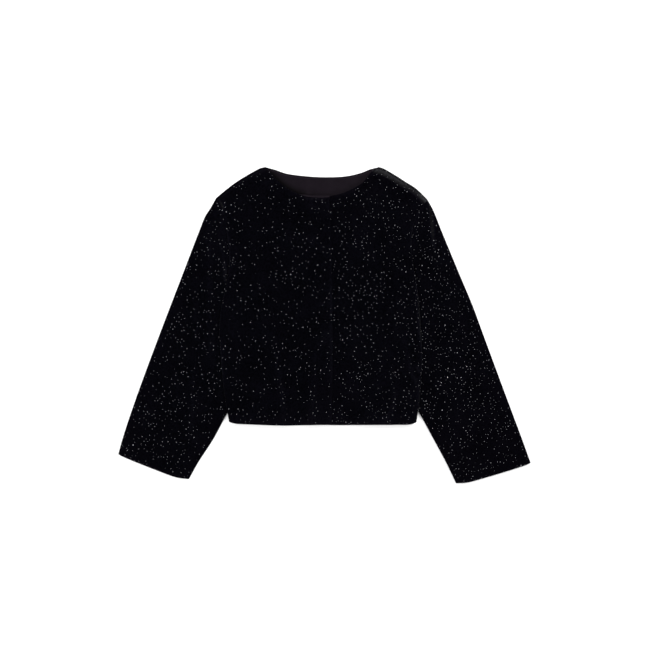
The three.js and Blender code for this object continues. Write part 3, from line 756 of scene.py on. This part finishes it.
def closed_mesh(name, outer, inner, nap_and_painted_light, tube=False, flip=False, lined_rim=None, inner_tone=None):
    """One closed wall from outer and inner grids. Inner faces take the second material, and so
    do those of the last row's rim where lined_rim says so."""
    outside, inside, rims = wall_faces(*outer.shape[:2], tube)
    faces = np.vstack([outside, inside, *rims])
    if flip:
        faces = faces[:, ::-1]
    material = np.zeros(len(faces), np.int32)
    rims_from = len(outside) + len(inside)
    material[len(outside):rims_from] = 1
    if lined_rim is not None:
        first = rims_from + len(rims[0])
        material[first:first + len(rims[1])] = lined_rim[:-1]
    vertices = np.vstack([outer.reshape(-1, 3), inner.reshape(-1, 3)])
    piece = placed_mesh(name, vertices, faces)
    mesh = piece.data
    mesh.polygons.foreach_set("material_index", material)
    mesh.polygons.foreach_set("use_smooth", np.ones(len(faces), bool))
    # Each point carries the painted sheen and painted shade of the outside, and a given tone for the
    # inside, which scale the materials' colour.
    within = np.zeros_like(nap_and_painted_light) if inner_tone is None else inner_tone
    values = np.concatenate([nap_and_painted_light.ravel(), within.ravel()]).astype(np.float32)
    mesh.attributes.new("nap_and_painted_light", "FLOAT", "POINT").data.foreach_set("value", values)
    mesh.update()
    return piece


# Cloth pieces.
def front_piece(name):
    side = CURVES[name]
    top_edge = joined([(NECK_SHARE, edge_of(side["neckline"])), (1.0, edge_of(side["shoulder"]))])
    edge, rows = seam_edge(side)
    plan = patch(edge_of(side["hem"]), top_edge, edge_of(side["closure"], True), edge)
    width = lengths_of(side["hem"])[-1]
    across = with_corner(spacing(width, CLOSURE_LINES, SEAM_LINES), NECK_SHARE, width)
    x, y = plan(across, rows)
    in_x, in_y = set_in(x, y)
    flat = flatness(seam_edges(x, y), 0)
    soft = softening([side["neckline"], side["closure"], side["hem"]], x, y, flat)
    roll = rounded(nearest(side["closure"], x, y)[0], CLOSURE_ROUND)
    peep = lining_peep(name, x, y)
    over = LINING_PEEP["over"] * peep
    top = front_height(name, x, y, False) - np.maximum(soft, roll * flat)
    outer = np.stack([x, y - LINING_PEEP["back"] * peep, top], axis=-1)
    bottom = front_height(name, in_x, in_y, True) + soft * FREE_UNDER
    inner = np.stack([in_x, in_y + over, np.minimum(bottom, top - THINNEST_EDGE)], axis=-1)
    # Painted sheen and painted shade along edges and creases, and painted sheen on the standing folds.
    nap_and_painted_light = painted_light_of(f"front_{name}", x, y, FRONT_CREASES) + FOLD_PAINTED_SHEEN * fold_rise(x, y)
    lined = (over[-1] > LINING_PEEP["seen"]).astype(np.int32)
    mesh = closed_mesh(f"{name}_front_cloth", outer, inner, nap_and_painted_light, flip=side["sign"] < 0, lined_rim=lined)
    return mesh, outer


def lining_peep(name, x, y):
    """How much of the lining shows over the neckline, from 0 to 1."""
    line = CURVES[name]["neckline"]
    near = 1 - smooth(0, LINING_PEEP["reach"], nearest(line, x, y)[0])
    across = smooth(LINING_PEEP["from"], LINING_PEEP["full_from"], x)
    across = across * (1 - smooth(LINING_PEEP["full_to"], LINING_PEEP["to"], x))
    return near * across


def back_piece():
    right, left = CURVES["right"], CURVES["left"]
    top = joined([
        (SHOULDER_SHARE, edge_of(right["shoulder"], True)),
        (1 - SHOULDER_SHARE, edge_of(BACK_NECK)),
        (1.0, edge_of(left["shoulder"])),
    ])
    right_hem = [(-out, up) for out, up in reversed(SIDES["right"]["hem"])]
    hem_line = smooth_line(right_hem + SIDES["left"]["hem"][1:])
    hem = edge_of(hem_line)
    right_edge, rows = seam_edge(right)
    plan = patch(hem, top, right_edge, seam_edge(left)[0])
    width = lengths_of(hem_line)[-1]
    across = spacing(width, SEAM_LINES, SEAM_LINES)
    for corner in (SHOULDER_SHARE, 1 - SHOULDER_SHARE):
        across = with_corner(across, corner, width)
    x, plan_y = plan(across, rows)
    above_hem = plan_y - hem(across)[None, :, 1]
    y = plan_y + HEM_SET_BACK * (1 - smooth(0, HEM_BLEND, above_hem))
    in_x, in_y = set_in(x, y)
    soft = softening([BACK_NECK, hem_line], x, plan_y, flatness(seam_edges(x, y), 0))
    outer = np.stack([x, y, back_height(x, y, False)], axis=-1)
    inner = np.stack([in_x, in_y, back_height(in_x, in_y, True) - soft], axis=-1)
    rim = NECK_RIM["amount"] * bump(nearest(BACK_NECK, x, y)[0], NECK_RIM["width"])
    # Painted sheen along the seams and creases.
    nap_and_painted_light = painted_light_of("back", x, y, BACK_CREASES)
    return closed_mesh("back_cloth", outer, inner, nap_and_painted_light, flip=True, inner_tone=rim), outer


def facing_piece():
    """The lining that shows inside the back of the neck, with a turned edge along the neckline."""
    low_x, high_x = BACK_NECKLINE[0][0], BACK_NECKLINE[-1][0]
    length = lengths_of(BACK_NECK)[-1]
    ends = FACING["end"] / length

    def neck(share):
        return at_share(BACK_NECK, ends + (1 - 2 * ends) * share) - [0, FACING["inset"]]

    middle = neck(np.array([0.5]))[0, 1]

    def lower(share):
        off = (share - 0.5) * 2
        x = low_x - FACING["flare"] + (high_x - low_x + 2 * FACING["flare"]) * share
        return np.stack([x, middle - FACING["depth"] + FACING["curve"] * off * off], axis=-1)

    def end(at):
        a, b = lower(np.array([at]))[0], neck(np.array([at]))[0]
        return lambda share: a + (b - a) * share[:, None]

    across = np.linspace(0, 1, FACING["columns"])
    rows = spacing(FACING["depth"], FACING_LOW_LINES, FACING_NECK_LINES, FACING["cell"])
    x, y = patch(lower, neck, end(0.0), end(1.0))(across, rows)
    at_neck = nearest(BACK_NECK, x, y)[0] - FACING["inset"]
    base = back_height(x, y, True) + SEAM_GAP
    ridge = FACING_RIDGE["rise"] * bump(at_neck - FACING_RIDGE["middle"], FACING_RIDGE["spread"])
    closer = FACING_WAVES["closer"]
    waves = FACING_WAVES["share"] * wave_rise(x * closer, y * closer)
    top = base + FACING_WALL + ridge + waves - rounded(at_neck, FACING_ROUND)
    outer = np.stack([x, y, top], axis=-1)
    inner = np.stack([x, y, base], axis=-1)
    # The lining has a painted highlight along its turned edge and painted shadow beside the front
    # necklines.
    return closed_mesh("neck_lining_cloth", outer, inner, painted_light_of("back_neck_facing", x, y))


def head_line(name):
    """The sleeve head: along the armhole and then in beneath the body."""
    side = CURVES[name]
    sign = side["sign"]
    armhole = side["armhole"]
    sewn = armhole[armhole[:, 1] > HEAD_SEWN]
    way = unit(np.gradient(sewn, axis=0))
    out = np.stack([-sign * way[:, 1], sign * way[:, 0]], axis=1)
    beside = sewn - out * ARMHOLE_OVERLAP
    turn = smooth_line([beside[-1], *[(sign * o, up) for o, up in SIDES[name]["head_tuck"]]])
    return np.vstack([beside, turn[1:]])


def clear_of_edges(x, y, side):
    """1 on the sleeve and 0 in its rolled top fold and beside the armhole."""
    at_fold = nearest(side["sleeve_top"], x, y)[0]
    at_seam = nearest(side["seam"], x, y)[0]
    return smooth(*CREASES_FROM["fold"], at_fold) * smooth(*CREASES_FROM["seam"], at_seam)


def head_climb(distance, y):
    """How far the sleeve's head rises to the front that lies raised beside it."""
    climb = tuck_lift(np.zeros_like(y), y) * smooth(HEAD_CLIMB["low"], HEAD_CLIMB["high"], y)
    sewn = smooth(HEAD_SEWN - SEWN_BLEND, HEAD_SEWN + SEWN_BLEND, y)
    climb = climb * (1 - (1 - smooth(0, HEAD_CLIMB["clear"], distance)) * (1 - sewn))
    return climb * (1 - smooth(HEAD_CLIMB["near"], HEAD_CLIMB["reach"], distance))


def sleeve_depth(name, x, y, along, across):
    """How high a sleeve's top lies before its edges roll over."""
    side = CURVES[name]
    distance, _, dx, dy, off_x, off_y = nearest(side["seam"], x, y)
    outside = side["sign"] * (off_y * dx - off_x * dy) > 0
    depth = TUCKED_DEPTH + (BODY_DEPTH - TUCKED_DEPTH) * smooth(*ON_BODY, y)
    ends = smooth(0, SLEEVE_FOLD_ENDS, across) * smooth(0, SLEEVE_FOLD_ENDS, 1 - across)
    shown = smooth(*BESIDE_SEAM, distance) * ends
    added = head_climb(distance, y) + wave_rise(x, y) * shown
    for share, slant, spread, height in SLEEVE_FOLDS:
        off = along - share - slant * (across - 0.5)
        added += height * shown * bump(off, spread)
    added += crease_rise(SLEEVE_CREASES[name], x, y) * clear_of_edges(x, y, side)
    return depth + np.where(outside, added, 0)


def sleeve_rows(plan, along, inset):
    """A sleeve's grid row by row: x, y, distance to the nearer edge and share of the width."""
    roll = SLEEVE_ROLL - inset
    lines = np.array(ROLL_SHARES) * roll
    rows = []
    for share_along in along:
        row = np.array([share_along])
        (end_x,), (end_y,) = plan(np.array([0.0, 1.0]), row)
        width = math.hypot(end_x[0] - end_x[1], end_y[0] - end_y[1])
        inner_width = width - 2 * inset
        share = spacing(inner_width, lines, lines, (inner_width - 2 * roll) / SLEEVE_CELLS)
        across = (inset + share * inner_width) / width
        (x,), (y,) = plan(across, row)
        rows.append([x, y, np.minimum(share, 1 - share) * inner_width, across])
    return [np.array(each) for each in zip(*rows)]


def sleeve_ring(name, plan, along, length, inset):
    """The sleeve's top and then its underside, so that each row runs once round the sleeve."""
    x, y, edge, across = sleeve_rows(plan, along, inset)
    v = np.repeat(along[:, None], x.shape[1], axis=1)
    middle = TUCKED_DEPTH / 2
    flat = 1 - round_off(edge, SLEEVE_ROLL - inset)
    from_end = np.minimum(v, 1 - v) * length
    ease = rounded(from_end, FREE_ROUND) * (-1 if inset else 1)
    sink = rounded(v * length, ARMHOLE_SINK) * smooth(*SLEEVE_SINK_FROM, y)
    full = sleeve_depth(name, x, y, v, across) - inset - middle - ease
    top = np.stack([x, y, middle + full * flat - sink * flat], axis=-1)
    low_z = middle - (middle - inset - ease * SLEEVE_END_UNDER) * flat
    low = np.stack([x, y, low_z], axis=-1)[:, 1:-1][:, ::-1]
    return np.concatenate([top, low], axis=1)


def sleeve_piece(name):
    side = CURVES[name]
    head = head_line(name)
    rest = [(side["sign"] * out, up) for out, up in SIDES[name]["sleeve_top"][1:]]
    top_fold = smooth_line([tuple(head[0]), *rest])
    plan = patch(edge_of(head), edge_of(side["cuff"]), edge_of(top_fold), edge_of(side["sleeve_under"]))
    length = lengths_of(top_fold)[-1]
    along = spacing(length, FREE_LINES, FREE_LINES)
    outer, inner = (sleeve_ring(name, plan, along, length, inset) for inset in (0, WALL))
    # Painted sheen along the seam, top fold, cuff and creases, and painted shade along a few creases.
    nap_and_painted_light = painted_light_of(f"sleeve_{name}", outer[..., 0], outer[..., 1], SLEEVE_CREASES[name])
    mesh = closed_mesh(f"{name}_sleeve_cloth", outer, inner, nap_and_painted_light, tube=True, flip=side["sign"] < 0)
    return mesh, outer


# Materials.
def new_material(name):
    """A material with its node tree, its shader and the piece's own coordinates."""
    material = bpy.data.materials.new(name)
    material.use_nodes = True
    tree = material.node_tree
    place = tree.nodes.new("ShaderNodeTexCoord").outputs["Object"]
    return material, tree, tree.nodes["Principled BSDF"], place


def feed(tree, made, inputs):
    """Fills a node's sockets: another node's output is linked and a value is set."""
    for socket, value in inputs.items():
        if isinstance(value, bpy.types.NodeSocket):
            tree.links.new(value, made.inputs[socket])
        else:
            made.inputs[socket].default_value = value


def node(tree, kind, inputs, output, **settings):
    """Makes a node and returns one of its outputs."""
    made = tree.nodes.new(kind)
    for key, value in settings.items():
        setattr(made, key, value)
    feed(tree, made, inputs)
    return made.outputs[output]


def noise(tree, place, scale, detail, roughness):
    inputs = {"Vector": place, "Scale": scale, "Detail": detail, "Roughness": roughness}
    return node(tree, "ShaderNodeTexNoise", inputs, "Fac")


def threads(tree, place, direction):
    inputs = {"Vector": place, "Scale": 520.0, "Distortion": 0.6}
    return node(tree, "ShaderNodeTexWave", inputs, "Fac", bands_direction=direction)


def maths(tree, operation, *inputs):
    return node(tree, "ShaderNodeMath", dict(enumerate(inputs)), "Value", operation=operation)


def relief(tree, height, strength, distance, under=None):
    """A bump of a texture, on top of another bump where one is given."""
    inputs = {"Height": height, "Strength": strength, "Distance": distance}
    if under is not None:
        inputs["Normal"] = under
    return node(tree, "ShaderNodeBump", inputs, "Normal")


def ramp(tree, value, stops):
    """A colour ramp between two stops, each of them a position and a colour."""
    made = tree.nodes.new("ShaderNodeValToRGB")
    for element, (position, colour) in zip(made.color_ramp.elements, stops):
        element.position = position
        element.color = (*colour, 1)
    feed(tree, made, {"Fac": value})
    return made.outputs["Color"]


def scaled_by_painted_light(tree, colour, grey_at=0.0):
    """Scales a colour by one plus the painted sheen, or below 0 painted shade, at each point. Where
    grey_at is given, the colour turns grey as the painted sheen nears it."""
    nap_and_painted_light = node(tree, "ShaderNodeAttribute", {}, "Fac", attribute_name="nap_and_painted_light")
    scale = {0: colour, "Scale": maths(tree, "ADD", nap_and_painted_light, 1.0)}
    shaded = node(tree, "ShaderNodeVectorMath", scale, "Vector", operation="SCALE")
    if not grey_at:
        return shaded
    grey = node(tree, "ShaderNodeRGBToBW", {"Color": shaded}, "Val")
    reach = {"Value": nap_and_painted_light, "From Max": grey_at, "To Max": GREY_MOST}
    share = node(tree, "ShaderNodeMapRange", reach, "Result")
    mixed = {"Factor": share, "A": shaded, "B": grey}
    return node(tree, "ShaderNodeMix", mixed, "Result", data_type="RGBA")


def velvet_material(name, dark, light, sheen):
    """Short upright pile: almost no diffuse light back, a soft sheen where it turns away, painted sheen
    and painted shade.
    """
    material, tree, shader, place = new_material(name)
    crush = noise(tree, place, scale=26.0, detail=3.0, roughness=0.55)
    nap_and_painted_light = noise(tree, place, scale=1500.0, detail=2.0, roughness=0.6)
    tufts = noise(tree, place, scale=420.0, detail=3.0, roughness=0.65)
    crushed = maths(tree, "MULTIPLY", crush, CRUSH_SHARE)
    mixed = maths(tree, "MULTIPLY_ADD", tufts, TUFT_SHARE, crushed)
    tone = ramp(tree, mixed, [(0.32, dark), (0.7, light)])
    tufted = relief(tree, tufts, strength=0.35, distance=0.0004)
    feed(tree, shader, {
        # The colour is scaled by painted sheen and painted shade, and turns grey where the painted
        # sheen is strong.
        "Base Color": scaled_by_painted_light(tree, tone, GREY_AT),
        "Normal": relief(tree, nap_and_painted_light, strength=0.3, distance=0.0002, under=tufted),
        "Roughness": 0.9,
        "Specular IOR Level": 0.0,
        "Sheen Weight": sheen,
        "Sheen Roughness": 0.3,
        "Sheen Tint": SHEEN_TINT,
    })
    return material


def lining_material(name, dark, light):
    """Fine plain-woven lining with a slight lustre."""
    material, tree, shader, place = new_material(name)
    weave = maths(tree, "MULTIPLY", threads(tree, place, "X"), threads(tree, place, "Y"))
    cloud = noise(tree, place, scale=60.0, detail=4.0, roughness=0.6)
    mixed = maths(tree, "MULTIPLY_ADD", weave, WEAVE_SHARE, cloud)
    tone = ramp(tree, mixed, [(0.35, dark), (0.85, light)])
    feed(tree, shader, {
        # The colour is scaled by a painted highlight and painted shadow.
        "Base Color": scaled_by_painted_light(tree, tone),
        "Normal": relief(tree, weave, strength=0.25, distance=0.00015),
        "Roughness": 0.6,
        "Specular IOR Level": 0.02,
        "Sheen Weight": 0.004,
    })
    return material


def glitter_material(name):
    """Silver flakes, each a little brighter or duller than the next: real glints from tilt and
    roughness, and a painted glint in their colour.
    """
    material, tree, shader, place = new_material(name)
    speckle = noise(tree, place, scale=310.0, detail=1.0, roughness=0.5)
    dullest, brightest = FLAKE_ROUGHNESS
    wear = {"Value": speckle, "To Min": dullest, "To Max": brightest}
    feed(tree, shader, {
        "Base Color": ramp(tree, speckle, FLAKE_TONES_AND_PAINTED_GLINT),
        "Roughness": node(tree, "ShaderNodeMapRange", wear, "Result"),
        "Metallic": 1.0,
    })
    return material


def floor_material(name):
    material, tree, shader, place = new_material(name)
    grain = noise(tree, place, scale=14.0, detail=2.0, roughness=0.5)
    tone = ramp(tree, grain, FLOOR_TONES)
    feed(tree, shader, {"Base Color": tone, "Roughness": 0.9, "Specular IOR Level": 0.1})
    return material


# Glitter.
def clustering(x, y):
    """How unevenly the flakes lie: a smooth field about 1."""
    pace = 2 * math.pi / CLUSTERS["length"]
    field = np.zeros_like(x)
    for weight, pair in CLUSTER_WAVES:
        one, other = (np.sin(pace * (a * x + b * y) + phase) for a, b, phase in pair)
        field += weight * one * other
    share = 0.5 + CLUSTERS["swing"] * field
    return CLUSTERS["least"] + (CLUSTERS["most"] - CLUSTERS["least"]) * share


def kept_apart(place, apart):
    """Which points stay when no two may be closer than this."""
    tree = KDTree(len(place))
    for i, point in enumerate(place):
        tree.insert(point, i)
    tree.balance()
    kept = np.ones(len(place), bool)
    for i, point in enumerate(place):
        if kept[i]:
            for _, other, _ in tree.find_range(point, apart):
                if other > i:
                    kept[other] = False
    return kept


def scatter(name, grid, rate, seed):
    """Flakes lying on a grid's cells, at a rate in flakes per square millimetre."""
    rng = np.random.default_rng(seed)
    a, b = grid[:-1, :-1], grid[:-1, 1:]
    c, d = grid[1:, 1:], grid[1:, :-1]
    normal = np.cross(c - a, d - b)
    area = np.linalg.norm(normal, axis=-1) / 2
    normal = normal / (2 * area[..., None] + TINY)
    middle = (a + c) / 2
    chance = (area * rate * np.maximum(clustering(middle[..., 0], middle[..., 1]), 0)).ravel()
    count = rng.poisson(chance)
    cell = np.repeat(np.arange(chance.size), count)
    u, v = rng.random((2, cell.size, 1))
    corners = [each.reshape(-1, 3)[cell] for each in (a, b, c, d)]
    place = (
        corners[0] * (1 - u) * (1 - v) + corners[1] * u * (1 - v)
        + corners[2] * u * v + corners[3] * (1 - u) * v
    )
    facing = normal.reshape(-1, 3)[cell]
    kept = kept_apart(place, FLAKE["apart"])
    return flakes(name, place[kept], facing[kept], rng)


def flakes(name, place, facing, rng):
    """Flat flakes with uneven corners, each tilted a little off the cloth that it lies on."""
    total, corners = len(place), FLAKE["corners"]
    share = rng.random(total) ** FLAKE["mostly_small"]
    size = FLAKE["least"] + (FLAKE["most"] - FLAKE["least"]) * share
    tilt = rng.normal(0, math.radians(FLAKE["tilt"]), (2, total))
    side = unit(np.cross(facing, ASLANT))
    other = np.cross(facing, side)
    up = unit(facing + side * np.tan(tilt[0])[:, None] + other * np.tan(tilt[1])[:, None])
    side = unit(np.cross(other, up))
    other = np.cross(up, side)
    turn = rng.random(total) * 2 * math.pi
    centre = place + facing * (FLAKE["lift"] + FLAKE["lift_by_size"] * size[:, None])
    points = np.zeros((total, corners, 3))
    for corner in range(corners):
        angle = turn + 2 * math.pi * corner / corners
        reach = size / 2 * (FLAKE["least_reach"] + FLAKE["more_reach"] * rng.random(total))
        along, across = reach * np.cos(angle), reach * np.sin(angle)
        points[:, corner] = centre + side * along[:, None] + other * across[:, None]
    return placed_mesh(name, points.reshape(-1, 3), np.arange(total * corners).reshape(total, corners))


# Stage.
def add_floor():
    bpy.ops.mesh.primitive_plane_add(size=FLOOR["size"], location=(0, 0, FLOOR["z"]))
    floor = bpy.context.object
    floor.name = "floor"
    floor.data.materials.append(floor_material("pale_floor"))


def add_light(name, place, target, size, power):
    data = bpy.data.lights.new(name, "AREA")
    data.shape = "RECTANGLE"
    data.size, data.size_y = size
    data.energy = power
    lamp = placed(name, data)
    lamp.location = place
    way = np.array(target) - np.array(place)
    lamp.rotation_euler = Vector(way).to_track_quat("-Z", "Y").to_euler()


def add_lights():
    for name, facts in LIGHTS.items():
        add_light(name, **facts)
    world = bpy.data.worlds.new("soft_studio")
    world.use_nodes = True
    tree = world.node_tree
    feed(tree, tree.nodes["Background"], {"Color": (1, 1, 1, 1), "Strength": 1.0})
    bpy.context.scene.world = world


def add_camera():
    data = bpy.data.cameras.new("camera")
    data.lens = VIEW["lens"]
    data.sensor_width = VIEW["sensor"]
    camera = placed("camera", data)
    height = VIEW["width"] * VIEW["lens"] / VIEW["sensor"] + VIEW["z"]
    camera.location = (VIEW["x"], VIEW["y"], height)
    camera.rotation_euler = (0, 0, 0)
    bpy.context.scene.camera = camera


def dress(piece, materials, node_name):
    for material in materials:
        piece.data.materials.append(material)
    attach(piece, "root")
    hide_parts(node_name)


def sprinkle(node_name, grid, material):
    """The flakes on one panel: round the whole sleeve, and on one side of any other."""
    whole_round = node_name.startswith("sleeve")
    surface = np.concatenate([grid, grid[:, :1]], axis=1) if whole_round else grid
    if node_name in TURNED_GRIDS:
        surface = surface[:, ::-1]
    piece = scatter(f"glitter_{node_name}", surface, *GLITTER[node_name])
    piece.data.materials.append(material)
    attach(piece, "root")
    return piece


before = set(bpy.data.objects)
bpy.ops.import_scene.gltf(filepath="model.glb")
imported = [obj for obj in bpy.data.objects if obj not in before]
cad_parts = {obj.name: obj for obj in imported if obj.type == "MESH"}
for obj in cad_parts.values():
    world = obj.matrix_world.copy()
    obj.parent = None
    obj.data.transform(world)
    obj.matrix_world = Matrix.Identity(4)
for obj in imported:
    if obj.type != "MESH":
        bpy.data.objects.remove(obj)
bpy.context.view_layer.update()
bpy.context.scene.view_settings.view_transform = "Standard"

add_camera()
add_floor()
add_lights()

velvet = velvet_material("black_velvet", **VELVET)
lining = lining_material("lining_mauve", **LINING)
silver = glitter_material("silver_flakes")

pieces = {}
grids = {}
for name in ("right", "left"):
    pieces[f"front_{name}"], grids[f"front_{name}"] = front_piece(name)
    pieces[f"sleeve_{name}"], grids[f"sleeve_{name}"] = sleeve_piece(name)
pieces["back"], grids["back"] = back_piece()
facing = facing_piece()

for node_name, piece in pieces.items():
    dress(piece, [velvet, lining], node_name)
dress(facing, [lining, lining], "back_neck_facing")

sparkle = {node_name: sprinkle(node_name, grid, silver) for node_name, grid in grids.items()}
